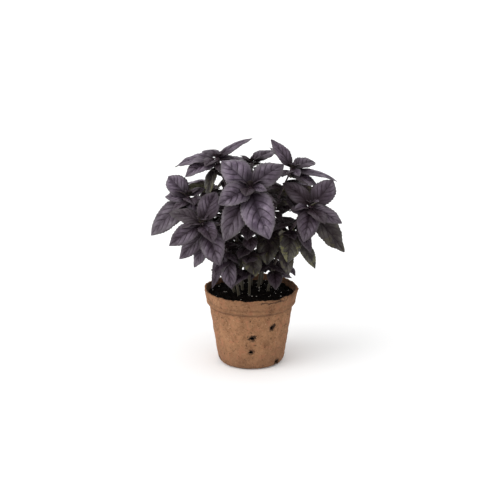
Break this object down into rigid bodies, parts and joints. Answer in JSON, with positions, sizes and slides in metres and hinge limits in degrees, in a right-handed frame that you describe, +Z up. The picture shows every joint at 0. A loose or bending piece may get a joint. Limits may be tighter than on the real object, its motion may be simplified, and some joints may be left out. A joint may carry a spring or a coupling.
{
  "type": "potted basil plant",
  "caption": "Bushy purple-leaved basil plant growing in a tapered moulded fibre pot with a collared rim and a flat base.",
  "frame": {"origin": "centre of the pot's flat base, where it rests", "axes": "+Z up, the front of the plant faces -Y"},
  "size_m": [0.2239, 0.1722, 0.2618],
  "materials": {
    "moulded_fibre": "matte",
    "potting_mix": "matte",
    "stem": "satin",
    "young_leaf": "satin",
    "old_leaf": "satin"
  },
  "bodies": {
    "root": {"pot": "moulded_fibre", "potting_mix": "potting_mix", "stem_a": "stem", "leaf_a1": "young_leaf", "leaf_a2": "young_leaf", "leaf_a3": "young_leaf", "leaf_a4": "young_leaf", "leaf_a5": "old_leaf", "leaf_a6": "young_leaf", "stem_b": "stem", "leaf_b1": "young_leaf", "leaf_b2": "young_leaf", "leaf_b3": "young_leaf", "leaf_b4": "young_leaf", "leaf_b5": "young_leaf", "leaf_b6": "old_leaf", "stem_c": "stem", "leaf_c1": "young_leaf", "leaf_c2": "young_leaf", "leaf_c3": "young_leaf", "leaf_c4": "young_leaf", "leaf_c5": "old_leaf", "stem_d": "stem", "leaf_d1": "young_leaf", "leaf_d2": "young_leaf", "leaf_d3": "young_leaf", "leaf_d4": "young_leaf", "leaf_d5": "young_leaf", "leaf_d6": "old_leaf", "leaf_d7": "old_leaf", "leaf_d8": "young_leaf", "stem_e": "stem", "leaf_e1": "young_leaf", "leaf_e2": "young_leaf", "leaf_e3": "young_leaf", "leaf_e4": "young_leaf", "stem_f": "stem", "leaf_f1": "young_leaf", "leaf_f2": "young_leaf", "leaf_f3": "young_leaf", "leaf_f4": "young_leaf", "leaf_f5": "young_leaf", "leaf_f6": "young_leaf", "leaf_f7": "young_leaf", "stem_h": "stem", "leaf_h1": "young_leaf", "leaf_h2": "young_leaf", "leaf_h3": "young_leaf", "leaf_h4": "old_leaf", "stem_i": "stem", "leaf_i1": "young_leaf", "leaf_i2": "young_leaf", "leaf_i3": "young_leaf", "leaf_i4": "young_leaf", "stem_j": "stem", "leaf_j1": "young_leaf", "leaf_j2": "young_leaf", "leaf_j3": "young_leaf", "leaf_j4": "young_leaf", "leaf_j5": "old_leaf"}
  },
  "joints": []
}
